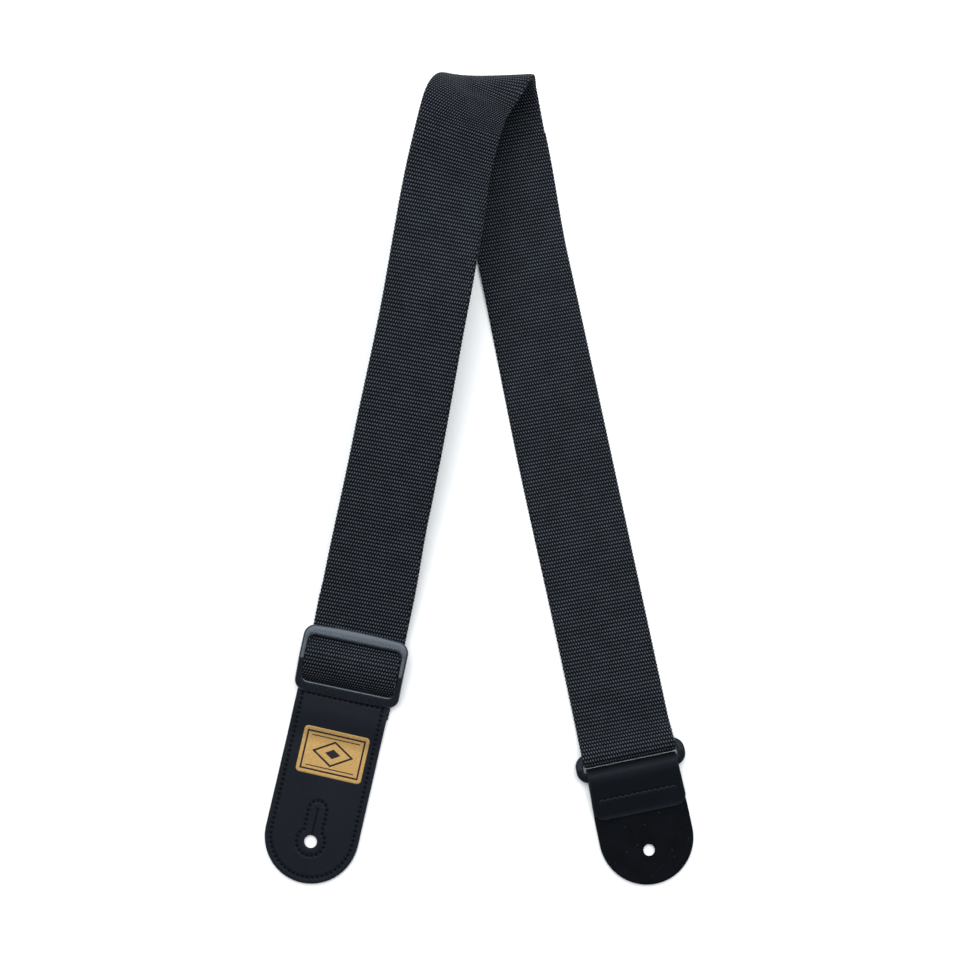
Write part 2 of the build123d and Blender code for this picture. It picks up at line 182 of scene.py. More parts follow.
class Path:
    """A line of (distance, height) points in a plane, with a strip that follows it."""

    def __init__(self, origin, along, across, points, up=UP):
        self.origin, self.along, self.across, self.up = origin, along, across, up
        self.points = np.array(points, float)
        steps = np.linalg.norm(np.diff(self.points, axis=0), axis=1)
        self.lengths = np.concatenate([[0.0], np.cumsum(steps)])
        self.length = self.lengths[-1]

    def at(self, t):
        """Distance and height, that far along the line."""
        return tuple(np.interp(t, self.lengths, self.points[:, k]) for k in (0, 1))

    def __call__(self, s, t, n):
        reach = 0.35  # the line's heading is taken over twice this length
        before, after = self.at(t - reach), self.at(t + reach)
        ta, tz = after[0] - before[0], after[1] - before[1]
        size = np.hypot(ta, tz)
        a, z = self.at(t)
        over = np.minimum(t, 0.0) + np.maximum(t - self.length, 0.0)
        a, z = a + over * ta / size, z + over * tz / size
        a, z = a - n * tz / size, z + n * ta / size
        place = self.along * np.asarray(a)[..., None] + self.up * np.asarray(z)[..., None]
        return self.origin + place + self.across * np.asarray(s)[..., None]


def rounded(points, radius, parts=10):
    """A polyline with its corners rounded."""
    points = [np.array(p, float) for p in points]
    line = [points[0]]
    for before, corner, after in zip(points, points[1:], points[2:]):
        back, on = before - corner, after - corner
        half_turn = (math.pi - math.acos(np.clip(unit(back) @ unit(on), -1, 1))) / 2
        cut = min(radius * math.tan(half_turn), 0.48 * np.linalg.norm(back), 0.48 * np.linalg.norm(on))
        start, end = corner + unit(back) * cut, corner + unit(on) * cut
        for k in range(parts + 1):
            f = k / parts
            line.append(start * (1 - f) ** 2 + corner * 2 * f * (1 - f) + end * f * f)
    line.append(points[-1])
    return line


def slope(start, end, parts=24):
    """A smooth S-shaped drop or climb between two points."""
    f = np.linspace(0, 1, parts)
    return list(zip(start[0] + (end[0] - start[0]) * f, start[1] + (end[1] - start[1]) * rise(f, 0, 1)))


def curved_fall(start, end, parts=24):
    """A drop that starts level and steepens evenly."""
    f = np.linspace(0, 1, parts)
    return list(zip(start[0] + (end[0] - start[0]) * f, start[1] + (end[1] - start[1]) * f**2))


def on_leg(along, above):
    """A point of the left leg in the vertical plane through its middle."""
    sine, cosine = math.sin(left_slope), math.cos(left_slope)
    return along * cosine + above * sine, SLIDER_HEIGHT - along * sine + above * cosine


# ------------------------------------------------------------------ materials
class Look:
    """A node material round one Principled shader."""

    def __init__(self, name, **values):
        self.material = bpy.data.materials.new(name)
        self.material.use_nodes = True
        self.tree = self.material.node_tree
        self.tree.nodes.clear()
        output = self.tree.nodes.new("ShaderNodeOutputMaterial")
        self.shader = self.tree.nodes.new("ShaderNodeBsdfPrincipled")
        self.tree.links.new(self.shader.outputs[0], output.inputs[0])
        for key, value in values.items():
            self.shader.inputs[key.replace("_", " ")].default_value = value

    def feed(self, socket, value):
        if isinstance(value, bpy.types.NodeSocket):
            self.tree.links.new(value, socket)
        else:
            socket.default_value = value

    def node(self, kind, output=0, settings=None, **inputs):
        node = self.tree.nodes.new("ShaderNode" + kind)
        for key, value in (settings or {}).items():
            setattr(node, key, value)
        for key, value in inputs.items():
            name = int(key[1:]) if key[1:].isdigit() else key.replace("_", " ")
            self.feed(node.inputs[name], value)
        return node.outputs[output]

    def math(self, operation, *values):
        inputs = {f"i{k}": value for k, value in enumerate(values)}
        return self.node("Math", settings={"operation": operation}, **inputs)

    def map(self, value, low, high, new_low=0.0, new_high=1.0, smooth=True):
        kind = "SMOOTHSTEP" if smooth else "LINEAR"
        return self.node(
            "MapRange",
            settings={"interpolation_type": kind},
            i0=value, i1=low, i2=high, i3=new_low, i4=new_high,
        )

    def noise(self, place, scale, detail=3.0, rough=0.5):
        return self.node(
            "TexNoise", settings={"noise_dimensions": "3D"},
            Vector=place, Scale=scale, Detail=detail, Roughness=rough,
        )

    def stretched(self, place, x, y, z):
        scale = self.node("CombineXYZ", i0=x, i1=y, i2=z)
        return self.node("VectorMath", settings={"operation": "MULTIPLY"}, i0=place, i1=scale)

    def colour(self, factor, first, second):
        first, second = ((*c, 1.0) if isinstance(c, tuple) else c for c in (first, second))
        return self.node("Mix", 2, {"data_type": "RGBA"}, i0=factor, i6=first, i7=second)

    def place(self):
        """Coordinates in mm, fixed to the piece."""
        return self.stretched(self.node("TexCoord", "Object"), 1 / MM, 1 / MM, 1 / MM)

    def flat(self):
        """The piece's own flat coordinates, together and one by one."""
        uv = self.node("UVMap", settings={"uv_map": "flat"})
        return uv, self.node("SeparateXYZ", 0, i0=uv), self.node("SeparateXYZ", 1, i0=uv)

    def bump(self, height, depth, strength=1.0, normal=None):
        node = self.tree.nodes.new("ShaderNodeBump")
        node.inputs["Strength"].default_value = strength
        node.inputs["Distance"].default_value = depth * MM
        self.feed(node.inputs["Height"], height)
        if normal is not None:
            self.feed(node.inputs["Normal"], normal)
        return node.outputs[0]

    def done(self, colour, roughness, normal):
        self.feed(self.shader.inputs["Base Color"], colour)
        self.feed(self.shader.inputs["Roughness"], roughness)
        self.feed(self.shader.inputs["Normal"], normal)
        return self.material


COOL = (0.78, 0.89, 1.0, 1.0)  # tint of the shine on leather and plastic


def webbing_look():
    """Coarse woven webbing: ribs across it, each a row of slanted yarn grains, painted light on their
    crests and painted shade in the valleys between them.
    """
    look = Look("woven_webbing", Specular_IOR_Level=0.04, Sheen_Weight=0.02, Sheen_Roughness=0.4)
    uv, u, v = look.flat()
    place = look.place()
    row = look.math("FLOOR", v)
    fv = look.math("SUBTRACT", v, row)
    half = look.math("MULTIPLY", look.math("MODULO", look.math("ABSOLUTE", row), 2.0), 0.5)
    lean = look.math("MULTIPLY", look.math("SUBTRACT", fv, 0.5), 0.45)
    fu = look.math("FRACT", look.math("ADD", look.math("ADD", look.math("ADD", u, 400.0), half), lean))
    crest = look.math("SINE", look.math("MULTIPLY", fv, math.pi))
    swell = look.math("SINE", look.math("MULTIPLY", fu, math.pi))
    grain = look.math("MULTIPLY", look.math("POWER", crest, 1.1), look.math("POWER", swell, 1.7))
    fibres = look.noise(look.stretched(uv, 9.0, 1.6, 1.0), 1.0, 3.0, 0.6)
    patches = look.noise(place, 0.11, 2.0)
    # The colour follows the weave's height: painted light on the crests, painted shade in the valleys, with
    # random fibre and patch tone on top
    painted_shade_tone = look.math("MULTIPLY", grain, look.map(fibres, 0.25, 0.75, 0.45, 1.25))
    painted_shade_tone = look.math("MULTIPLY", painted_shade_tone, look.map(patches, 0.3, 0.7, 0.93, 1.06))
    colour = look.colour(look.map(painted_shade_tone, 0.22, 0.95), (0.0013, 0.0018, 0.0029), (0.078, 0.090, 0.112))
    roughness = look.map(fibres, 0.3, 0.7, 0.46, 0.66)
    height = look.math("ADD", grain, look.math("MULTIPLY", fibres, 0.35))
    return look.done(colour, roughness, look.bump(height, 0.22, 0.8))


def leather_look(name, dark, pale):
    """Smooth black leather with a very fine grain, paler along its edges: rubbed wear and a painted
    highlight on the rounded edge.
    """
    look = Look(name, Specular_IOR_Level=0.07, Specular_Tint=COOL)
    place = look.place()
    grain = look.node("TexVoronoi", settings={"feature": "SMOOTH_F1"}, Vector=place, Scale=2.6)
    creases = look.noise(place, 0.55, 5.0, 0.6)
    patches = look.noise(place, 0.045, 2.0)
    edge = look.node("Attribute", "Fac", settings={"attribute_name": "edge"})
    # Paler along the edges: real rubbing, and a painted highlight where the rounded edge catches the light
    edge_wear_and_highlight = look.math("MULTIPLY", look.map(edge, 0.35, 0.02), look.map(creases, 0.35, 0.65, 0.25, 1.0))
    colour = look.colour(patches, dark, pale)
    colour = look.colour(look.math("MULTIPLY", edge_wear_and_highlight, 0.5), colour, (0.026, 0.030, 0.038))
    roughness = look.map(creases, 0.3, 0.7, 0.40, 0.52)
    roughness = look.math("ADD", roughness, look.math("MULTIPLY", edge_wear_and_highlight, 0.1))
    height = look.math("ADD", look.math("MULTIPLY", grain, 0.6), creases)
    return look.done(colour, roughness, look.bump(height, 0.05, 0.55))


def suede_look():
    """Napped flesh side: matte, mottled, with stray pale fibres."""
    look = Look("napped_suede", Specular_IOR_Level=0.03, Sheen_Weight=0.02, Sheen_Roughness=0.6)
    place = look.place()
    nap = look.noise(place, 3.4, 6.0, 0.75)
    brushed = look.noise(place, 0.12, 3.0)
    specks = look.node("TexVoronoi", settings={"feature": "F1"}, Vector=place, Scale=0.24)
    colour = look.colour(look.map(nap, 0.3, 0.72), (0.0009, 0.0012, 0.0018), (0.0040, 0.0049, 0.0070))
    colour = look.colour(look.map(brushed, 0.35, 0.7, 0.0, 0.45), colour, (0.0044, 0.0055, 0.0077))
    colour = look.colour(look.map(specks, 0.075, 0.03), colour, (0.05, 0.055, 0.06))
    return look.done(colour, look.map(nap, 0.3, 0.7, 0.82, 0.98), look.bump(nap, 0.16, 0.8))


def plastic_look(name, gloss):
    """Moulded plastic with a fine spark-eroded texture, and a painted highlight along its rounded edges."""
    look = Look(name, Specular_IOR_Level=gloss, Specular_Tint=COOL)
    place = look.place()
    texture = look.noise(place, 2.2, 4.0, 0.75)
    mottle = look.noise(place, 0.9, 3.0)
    colour = look.colour(look.map(mottle, 0.3, 0.7), (0.0034, 0.0046, 0.0072), (0.0072, 0.0093, 0.0135))
    edge = look.node("Attribute", "Fac", settings={"attribute_name": "edge"})
    # Painted highlight: lighter along the rounded edges
    colour = look.colour(look.map(edge, 0.3, 0.02, 0.0, 0.5), colour, (0.020, 0.026, 0.035))
    return look.done(colour, look.map(texture, 0.25, 0.75, 0.20, 0.34), look.bump(texture, 0.075, 0.8))


def thread_look(name, dark, pale):
    """Waxed sewing thread, painted light on its plies and painted shade in the grooves of its twist."""
    look = Look(name, Specular_IOR_Level=0.15)
    u, v = look.flat()[1:]
    twist = look.math("ADD", u, look.math("MULTIPLY", v, 2.2))
    ply = look.math("SINE", look.math("MULTIPLY", twist, 2 * math.pi))
    fuzz = look.noise(look.place(), 7.0, 3.0)
    # The colour follows the twist: painted light on each ply, painted shade in the grooves between them
    painted_shade_tone = look.math("MULTIPLY", look.map(ply, -0.6, 1.0), look.map(fuzz, 0.3, 0.7, 0.6, 1.0))
    roughness = look.map(fuzz, 0.3, 0.7, 0.45, 0.65)
    return look.done(look.colour(painted_shade_tone, dark, pale), roughness, look.bump(ply, 0.06, 0.7))


def foil_look():
    """Stamped gold foil with dark keylines: a border, two lines, and a lozenge round a solid one."""
    look = Look("stamped_foil", Specular_IOR_Level=0.12)
    uv, u, v = look.flat()
    place = look.place()
    au, av = look.math("ABSOLUTE", u), look.math("ABSOLUTE", v)
    box = look.math("MAXIMUM", look.math("SUBTRACT", au, 15.6), look.math("SUBTRACT", av, 10.1))
    border = look.map(look.math("ABSOLUTE", box), 0.5, 0.38)
    lozenge = look.math("ADD", look.math("DIVIDE", au, 10.5), look.math("DIVIDE", av, 6.4))
    ring = look.map(look.math("ABSOLUTE", look.math("SUBTRACT", lozenge, 1.0)), 0.10, 0.075)
    core = look.map(lozenge, 0.42, 0.38)
    off_line = look.math("ABSOLUTE", look.math("SUBTRACT", av, 8.1))
    stripes = look.math("MULTIPLY", look.map(off_line, 0.3, 0.2), look.map(au, 13.2, 13.0))
    lines = look.math("MAXIMUM", look.math("MAXIMUM", border, ring), look.math("MAXIMUM", core, stripes))
    brushed = look.noise(look.stretched(uv, 0.6, 3.0, 1.0), 1.0, 4.0, 0.6)
    speckle = look.noise(place, 2.5, 4.0, 0.7)
    gold = look.colour(look.map(brushed, 0.3, 0.7), (0.235, 0.140, 0.046), (0.335, 0.210, 0.076))
    gold = look.colour(look.map(speckle, 0.62, 0.8, 0.0, 0.35), gold, (0.30, 0.19, 0.07))
    colour = look.colour(lines, gold, (0.0035, 0.0042, 0.006))
    metal = look.math("MULTIPLY", look.math("SUBTRACT", 1.0, lines), 0.6)
    look.feed(look.shader.inputs["Metallic"], metal)
    height = look.math("SUBTRACT", look.math("MULTIPLY", speckle, 0.15), lines)
    return look.done(colour, look.map(speckle, 0.3, 0.7, 0.34, 0.48), look.bump(height, 0.10, 0.8))


WEBBING = webbing_look()
LEATHER = leather_look("fine_grain_leather", (0.0036, 0.0047, 0.0072), (0.0062, 0.0076, 0.0108))
# A darker copy of the same leather: painted shade on the folded right tab
SHADED_LEATHER = leather_look("shaded_folded_leather", (0.0034, 0.0043, 0.0064), (0.0050, 0.0062, 0.0088))
SUEDE = suede_look()
SLIDE_PLASTIC = plastic_look("adjuster_plastic", 0.55)
RING_PLASTIC = plastic_look("ring_plastic", 0.08)
# The sunken thread is a darker copy of the thread: painted shade of the needle holes it lies in
SHADED_THREAD = thread_look("shaded_sunken_thread", (0.0006, 0.0008, 0.0012), (0.0040, 0.0050, 0.0074))
RAISED_THREAD = thread_look("raised_thread", (0.008, 0.0095, 0.0130), (0.042, 0.050, 0.066))
FOIL = foil_look()


# ------------------------------------------------------------------ meshes
def add_piece(name, vertices, faces, flat, material, node, body=None, edge=None, sharp=()):
    mesh = bpy.data.meshes.new(name)
    mesh.from_pydata((np.asarray(vertices) * MM).tolist(), [], faces)
    loops = np.empty(len(mesh.loops), dtype=np.int32)
    mesh.loops.foreach_get("vertex_index", loops)
    layer = mesh.uv_layers.new(name="flat")
    layer.data.foreach_set("uv", np.asarray(flat, dtype=np.float32)[loops].ravel())
    mesh.polygons.foreach_set("use_smooth", np.ones(len(mesh.polygons), dtype=bool))
    if edge is not None:
        nearness = mesh.attributes.new("edge", "FLOAT", "POINT")
        nearness.data.foreach_set("value", np.asarray(edge, dtype=np.float32))
    if len(sharp):
        sharp = {tuple(sorted(pair)) for pair in sharp}
        marks = [tuple(sorted(e.vertices)) in sharp for e in mesh.edges]
        mesh.attributes.new("sharp_edge", "BOOLEAN", "EDGE").data.foreach_set("value", marks)
    mesh.materials.append(material)
    mesh.validate()
    piece = bpy.data.objects.new(name, mesh)
    bpy.context.scene.collection.objects.link(piece)
    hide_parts(node)
    if body:
        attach(piece, body)
    return piece


def weave(s, v):
    """Height of the weave, from 0 to 1, a little uneven from grain to grain."""
    row = np.floor(v / RIB)
    fv = v / RIB - row
    fu = s / GRAIN + 0.5 * (np.abs(row) % 2) + 0.45 * (fv - 0.5)
    column = np.floor(fu)
    uneven = 0.88 + 0.12 * np.sin(row * 12.9898 + column * 78.233)
    return np.sin(math.pi * fv) ** 0.8 * (0.45 + 0.55 * np.sin(math.pi * (fu - column))) * uneven


def ribbon(name, node, route, start, end, layer=0.0, fine=1, phase=(1.0, 0.0), width=WIDTH, shift=0.0,
           body=None):
    """A length of webbing, with its weave in relief on its fine side (or on neither, for 0).

    The phase says which way the ribs are counted and where the count starts, so that pieces that
    meet end to end share one weave."""
    core, relief = 0.50, 0.30
    step, closest = RIB / 3, 0.12
    sign, offset = phase
    marks = np.sort((np.arange(-2000, 2000) * step - offset) * sign)
    rows = np.array([start, *(m for m in marks if start + closest < m < end - closest), end])
    half = width / 2
    reach = half - 0.5
    grains = math.floor(reach / (GRAIN / 4))
    fine_s = np.arange(-grains, grains + 1) * GRAIN / 4
    coarse_s = np.linspace(-reach, reach, 25)
    columns = []  # of each: place across, height, share of the weave's relief, share of the rim's ripple
    for side in (1, -1):
        spread = fine_s if fine == side else coarse_s
        columns += [(s * side, side, 1.0 if fine == side else 0.0, 0.0) for s in spread]
        columns += [((half - 0.1) * side, 0.62 * side, 0.0, 0.6), (half * side, 0.0, 0.0, 1.0)]
        columns += [((half - 0.1) * side, -0.62 * side, 0.0, 0.6)]
    s, level, textured, rim = (np.array(c) for c in zip(*columns))
    t, s = np.meshgrid(rows, s, indexing="ij")
    v = t * sign + offset
    height = weave(s, v)
    plain = np.where(np.abs(level) == 1, 1.0 - textured, 0.0)
    n = level * core + np.sign(level) * relief * (textured * height + 0.45 * plain)
    thin = 1 - 0.35 * rise(np.abs(s), half - 2.2, half - 0.4)
    ripple = 0.34 * np.abs(np.sin(math.pi * v / RIB)) - 0.14
    points = route(s + np.sign(s) * rim * ripple + shift, t, layer + n * thin)
    index = np.arange(t.size).reshape(t.shape)
    nxt = np.roll(index, -1, axis=1)
    quads = np.stack([index[:-1], index[1:], nxt[1:], nxt[:-1]], axis=-1).reshape(-1, 4)
    faces = quads.tolist() + [index[0].tolist(), index[-1][::-1].tolist()]
    sharp = [pair for ring in (0, -1) for pair in zip(index[ring].tolist(), nxt[ring].tolist())]
    flat = np.stack([s / GRAIN, v / RIB], axis=-1).reshape(-1, 2)
    points = points.reshape(-1, 3)
    return add_piece(name, points, faces, flat, WEBBING, node, body, sharp=sharp)


def distance_to(points, lines):
    """Distance from each point to the nearest of the lines."""
    best = np.full(len(points), np.inf)
    for line in lines:
        a, b = line[:-1], line[1:]
        ab = b - a
        size = np.maximum((ab**2).sum(1), 1e-12)
        for start in range(0, len(points), 4000):
            chunk = points[start:start + 4000, None, :]
            f = np.clip(((chunk - a) * ab).sum(2) / size, 0, 1)
            gap = chunk - (a + f[..., None] * ab)
            near = np.sqrt((gap**2).sum(2)).min(1)
            best[start:start + 4000] = np.minimum(best[start:start + 4000], near)
    return best


def inside(points, polygon):
    """Whether each point is inside the polygon."""
    x, y = points[:, 0], points[:, 1]
    result = np.zeros(len(points), dtype=bool)
    for (x1, y1), (x2, y2) in zip(polygon, np.roll(polygon, -1, axis=0)):
        crosses = (y1 > y) != (y2 > y)
        with np.errstate(divide="ignore", invalid="ignore"):
            result ^= crosses & (x < (x2 - x1) * (y - y1) / (y2 - y1) + x1)
    return result


def outside(points, polygons):
    """Whether each point is outside every one of the polygons."""
    result = np.ones(len(points), dtype=bool)
    for polygon in polygons:
        result &= ~inside(points, polygon)
    return result


def closed(polygon):
    return np.vstack([polygon, polygon[:1]])


def spaced(line, gap):
    """Points along a line, evenly spaced by about that gap, its ends included."""
    line = np.asarray(line, float)
    steps = np.concatenate([[0.0], np.cumsum(np.linalg.norm(np.diff(line, axis=0), axis=1))])
    count = max(1, round(steps[-1] / gap))
    wanted = np.linspace(0, steps[-1], count + 1)
    return np.stack([np.interp(wanted, steps, line[:, k]) for k in (0, 1)], axis=-1)


def arc(centre, radius, start, end, parts=24):
    """Points of an arc, between angles in degrees."""
    angles = np.radians(np.linspace(start, end, parts + 1))
    return np.stack([centre[0] + radius * np.cos(angles), centre[1] + radius * np.sin(angles)], axis=-1)


def flat_at(height):
    """A level surface."""
    return lambda points: np.full(len(points), height)


def points_within(rims, walls, grid, edge, needles):
    """Points that carry a plate's surface: a grid, rows along its rims, and rings round needle holes."""
    low, high = rims[0].min(0), rims[0].max(0)
    xs, ys = np.arange(low[0], high[0], grid), np.arange(low[1], high[1], grid * 0.87)
    mesh_x, mesh_y = np.meshgrid(xs, ys)
    mesh_x = mesh_x + (np.arange(len(ys)) % 2)[:, None] * grid / 2
    inner = np.stack([mesh_x.ravel(), mesh_y.ravel()], axis=-1)
    extra = [inner[distance_to(inner, walls) > edge + grid * 0.45]]
    for rim in rims:
        tangent = unit(np.roll(rim, -1, axis=0) - np.roll(rim, 1, axis=0))
        normal = np.stack([-tangent[:, 1], tangent[:, 0]], axis=-1)
        for depth in (0.06, 0.2, 0.5, 1.0):
            for way in (1, -1):
                ring = rim + normal * way * edge * depth
                extra.append(ring[distance_to(ring, walls) > edge * depth * 0.93])
    if len(needles):
        around = arc((0, 0), 1.0, 0, 360, 8)[:-1]
        extra += [needles, *(needles + a * 0.28 for a in around), *(needles + a * 0.62 for a in around)]
    extra = np.vstack(extra)
    return extra[inside(extra, rims[0]) & outside(extra, rims[1:])]


def triangulated(rims, extra):
    """The points of a plate and its triangles, all facing up, with none in its holes."""
    points = np.vstack([*rims, extra])
    edges, base = [], 0
    for rim in rims:
        order = np.arange(len(rim)) + base
        edges += list(zip(order.tolist(), np.roll(order, -1).tolist()))
        base += len(rim)
    result = geometry.delaunay_2d_cdt([Vector(p) for p in points], edges, [], 0, 1e-5)
    flat = np.array([tuple(p) for p in result[0]])
    triangles = np.array(result[2])
    centres = flat[triangles].mean(1)
    triangles = triangles[inside(centres, rims[0]) & outside(centres, rims[1:])]
    used = np.unique(triangles)
    renumber = np.full(len(flat), -1)
    renumber[used] = np.arange(len(used))
    flat, triangles = flat[used], renumber[triangles]
    a, b, c = (flat[triangles[:, k]] for k in range(3))
    turned = (b[:, 0] - a[:, 0]) * (c[:, 1] - a[:, 1]) - (b[:, 1] - a[:, 1]) * (c[:, 0] - a[:, 0]) < 0
    triangles[turned] = triangles[turned][:, ::-1]
    return flat, triangles


def plate(name, node, outline, holes, top, bottom, route, material, body,
          grid=1.1, edge=0.4, needles=()):
    """A flat piece cut to an outline, with rounded edges: top and bottom give its two surfaces."""
    rims = [spaced(closed(np.asarray(line)), 0.6)[:-1] for line in (outline, *holes)]
    walls = [closed(rim) for rim in rims]
    flat, triangles = triangulated(rims, points_within(rims, walls, grid, edge, needles))
    depth = distance_to(flat, walls)
    gap = edge - np.minimum(depth, edge)
    drop = edge - np.sqrt(np.maximum(edge**2 - gap**2, 0))
    upper, lower = top(flat) - drop, bottom(flat) + drop * 0.8
    count = len(flat)
    points = np.vstack([route(flat[:, 0], flat[:, 1], upper), route(flat[:, 0], flat[:, 1], lower)])
    sides = [pair for tri in triangles.tolist() for pair in zip(tri, tri[1:] + tri[:1])]
    seen = set(sides)
    border = [(p, q) for p, q in sides if (q, p) not in seen]
    faces = triangles.tolist() + (triangles[:, ::-1] + count).tolist()
    faces += [(q, p, p + count, q + count) for p, q in border]
    return add_piece(
        name, points, faces, np.vstack([flat, flat]), material, node, body,
        edge=np.tile(np.clip(depth / 3, 0, 1), 2),
    )


def thread(name, node, rows, top, route, material, body, radius=0.18, arch=0.26, sunk=0.30):
    """Rows of stitches, each a twisted loop of thread from one needle hole to the next."""
    rings, sides = 9, 8
    twist = 5.0
    along = np.linspace(0, 1, rings)
    angle = np.linspace(0, 2 * math.pi, sides, endpoint=False)
    vertices, faces, flat = [], [], []
    for row in rows:
        for k, (p, q) in enumerate(zip(row, row[1:])):
            heading = unit(q - p)
            aside = np.array([-heading[1], heading[0]])
            jitter = 0.05 * math.sin(k * 7.3)
            centre = p + (q - p) * along[:, None] + aside * jitter * np.sin(math.pi * along)[:, None]
            height = top(np.vstack([p, q])).mean() - sunk + arch * np.sin(math.pi * along) ** 0.55
            thick = radius * (0.55 + 0.45 * np.sin(math.pi * along) ** 0.5)
            ply = 1 + 0.14 * np.cos(2 * (angle[None, :] - along[:, None] * twist))
            wide = thick[:, None] * np.cos(angle) * ply
            tall = thick[:, None] * np.sin(angle) * ply
            u = centre[:, None, 0] + aside[0] * wide
            v = centre[:, None, 1] + aside[1] * wide
            base = len(vertices) * rings * sides
            vertices.append(route(u, v, height[:, None] + tall).reshape(-1, 3))
            index = np.arange(rings * sides).reshape(rings, sides) + base
            nxt = np.roll(index, -1, axis=1)
            quads = np.stack([index[:-1], nxt[:-1], nxt[1:], index[1:]], axis=-1).reshape(-1, 4)
            faces += quads.tolist() + [index[0][::-1].tolist(), index[-1].tolist()]
            spot = np.broadcast_arrays(along[:, None] * 3, angle / (2 * math.pi))
            flat.append(np.stack(spot, axis=-1).reshape(-1, 2))
    return add_piece(name, np.vstack(vertices), faces, np.vstack(flat), material, node, body)


# ------------------------------------------------------------------ webbing
LEG_WIDTH = 49.3  # of the webbing in the fold and the left leg, to match the photo's outline
INNER_WIDTH = 49.6  # of the fold's inner layer
HUMP_WIDTH = 50.3  # of the hump, which fills the adjuster's window
BACKING = 1.2  # thickness of the suede
STITCH_ROW = 19.6  # from the adjuster's middle to the stitches across the left tab
SEWN_IN = 6.0  # webbing past those stitches
TAB_TOP = BACKING + THICK / 2
SWITCH = 40.0  # how far before the adjuster the front layer leaves the fold's own surface
BACK_END = T_SLIDER - 4.0  # where the back layer meets the adjuster's centre bar

slider_plan = slider_centre * [1, 1, 0]
leg_corners = [
    on_leg(-SWITCH, LAYER), on_leg(4.0, LAYER),
    (STITCH_ROW - 8.0, TAB_TOP), (STITCH_ROW + SEWN_IN, TAB_TOP),
]
leg_end = Path(slider_plan, left_plan, left_across, rounded(leg_corners, 12.0))


def front_route(s, t, n):
    """The front layer follows the strap, and bends down into the left tab past the adjuster."""
    straight = strap(s, np.minimum(t, T_SLIDER), n + LAYER)
    bent = leg_end(s, np.maximum(t - (T_SLIDER - SWITCH), 0.0), n)
    return np.where((t > T_SLIDER - SWITCH)[..., None], bent, straight)


def inner_route(s, t, n):
    """The inner layer lies a little off the outer one: left of it at the foot, right of it past the rim."""
    return strap(s - 1.1 * np.exp(-(((t - 5.0) / 60.0) ** 2)) + 0.7 * rise(t, T1, T2), t, n)


def under_route(s, t, n):
    """The lower layer of the right leg shows at its left edge, half way down."""
    return strap(s - 1.2 * np.exp(-(((t + 185.0) / 75.0) ** 2)), t, n)


ribbon(
    "front_webbing", "webbing_front_left", front_route, T3, T_SLIDER - SWITCH + leg_end.length,
    width=LEG_WIDTH, body="strap",
)
ribbon(
    "fold_outer_webbing", "webbing_fold_outer", strap, -LEAD, T3, layer=LAYER,
    width=LEG_WIDTH, body="strap",
)
ribbon(
    "fold_inner_webbing", "webbing_fold_inner", inner_route, -LEAD, T3, layer=-LAYER, fine=-1,
    width=INNER_WIDTH, body="strap",
)
back_webbing = ribbon(
    "back_webbing", "webbing_return_left", inner_route, T3, BACK_END, layer=-LAYER, fine=-1,
    width=LEG_WIDTH, body="strap",
)
under_webbing = ribbon(
    "under_webbing", "webbing_right_outer", under_route, -WRAP_START, -LEAD, layer=LAYER, fine=0
)
upper_webbing = ribbon(
    "upper_webbing", "webbing_right_inner", inner_route, -WRAP_START, -LEAD, layer=-LAYER, fine=-1
)

# The webbing climbs from the right leg over the ring's upper bar and comes back under it
bar_radius = 3.25 + THICK / 2
high, low, mid = BAR_HEIGHT + bar_radius, THICK / 2, 1.5 * THICK + 0.3
climb = slope((UPPER_BAR - WRAP_RUN, mid), (UPPER_BAR, high))[:-1]
bend = arc((UPPER_BAR, BAR_HEIGHT), bar_radius, 90, -90)
wrap = Path(fold_point, right_down, right_across, [(WRAP_START, mid), *climb, *bend, (WRAP_START, low)])
ribbon(
    "ring_wrap_webbing", "webbing_ring_wrap", wrap, 0.0, wrap.length, phase=(-1.0, -WRAP_START),
    body="right_end",
)

# Heights in the adjuster are off its own plane, and distances are down the left leg from its middle
FRAME_LOW, FRAME_HIGH = 4.2, 9.0
BAR_LOW, BAR_HIGH = 4.9, 7.3
LOOP_TOP = BAR_HIGH + 0.1 + THICK
HUMP_TOP = LOOP_TOP + 0.5 + THICK / 2
HUMP_FOOT = FRAME_LOW - 0.4 - THICK / 2
TAIL = -LAYER - 0.3 - THICK
TAIL_SHIFT = -0.3


def slider_path(points):
    return Path(slider_centre, left_down, left_across, points, left_up)


# Up from the adjuster's upper bar, over the centre bar, and down to the lower bar
hump = slider_path([
    (-17.0, HUMP_FOOT), *slope((-13.4, HUMP_FOOT), (-3.5, HUMP_TOP)),
    *curved_fall((0.0, HUMP_TOP), (12.3, HUMP_FOOT)), (14.0, HUMP_FOOT),
])
ribbon(
    "hump_webbing", "webbing_slider_hump", hump, 0.0, hump.length, phase=(1.0, 0.6),
    width=HUMP_WIDTH, body="slider",
)

# Once round the centre bar, with its corners rounded
bar_mid = (BAR_LOW + BAR_HIGH) / 2
loop_w, loop_h = 2.6 + THICK / 2, 1.3 + THICK / 2
loop_low, loop_high = bar_mid - loop_h, bar_mid + loop_h
loop = slider_path(rounded([
    (0.0, loop_high), (loop_w, loop_high), (loop_w, loop_low), (-loop_w, loop_low), (-loop_w, loop_high),
    (-0.05, loop_high),
], 1.6, 8))
ribbon("bar_loop_webbing", "webbing_return_loop", loop, 0.0, loop.length, body="slider")

tail = slider_path([(-34.0, TAIL), (2.0, TAIL)])
ribbon(
    "tail_webbing", "webbing_return_tail", tail, 0.0, tail.length, fine=-1, shift=TAIL_SHIFT,
    body="slider",
)


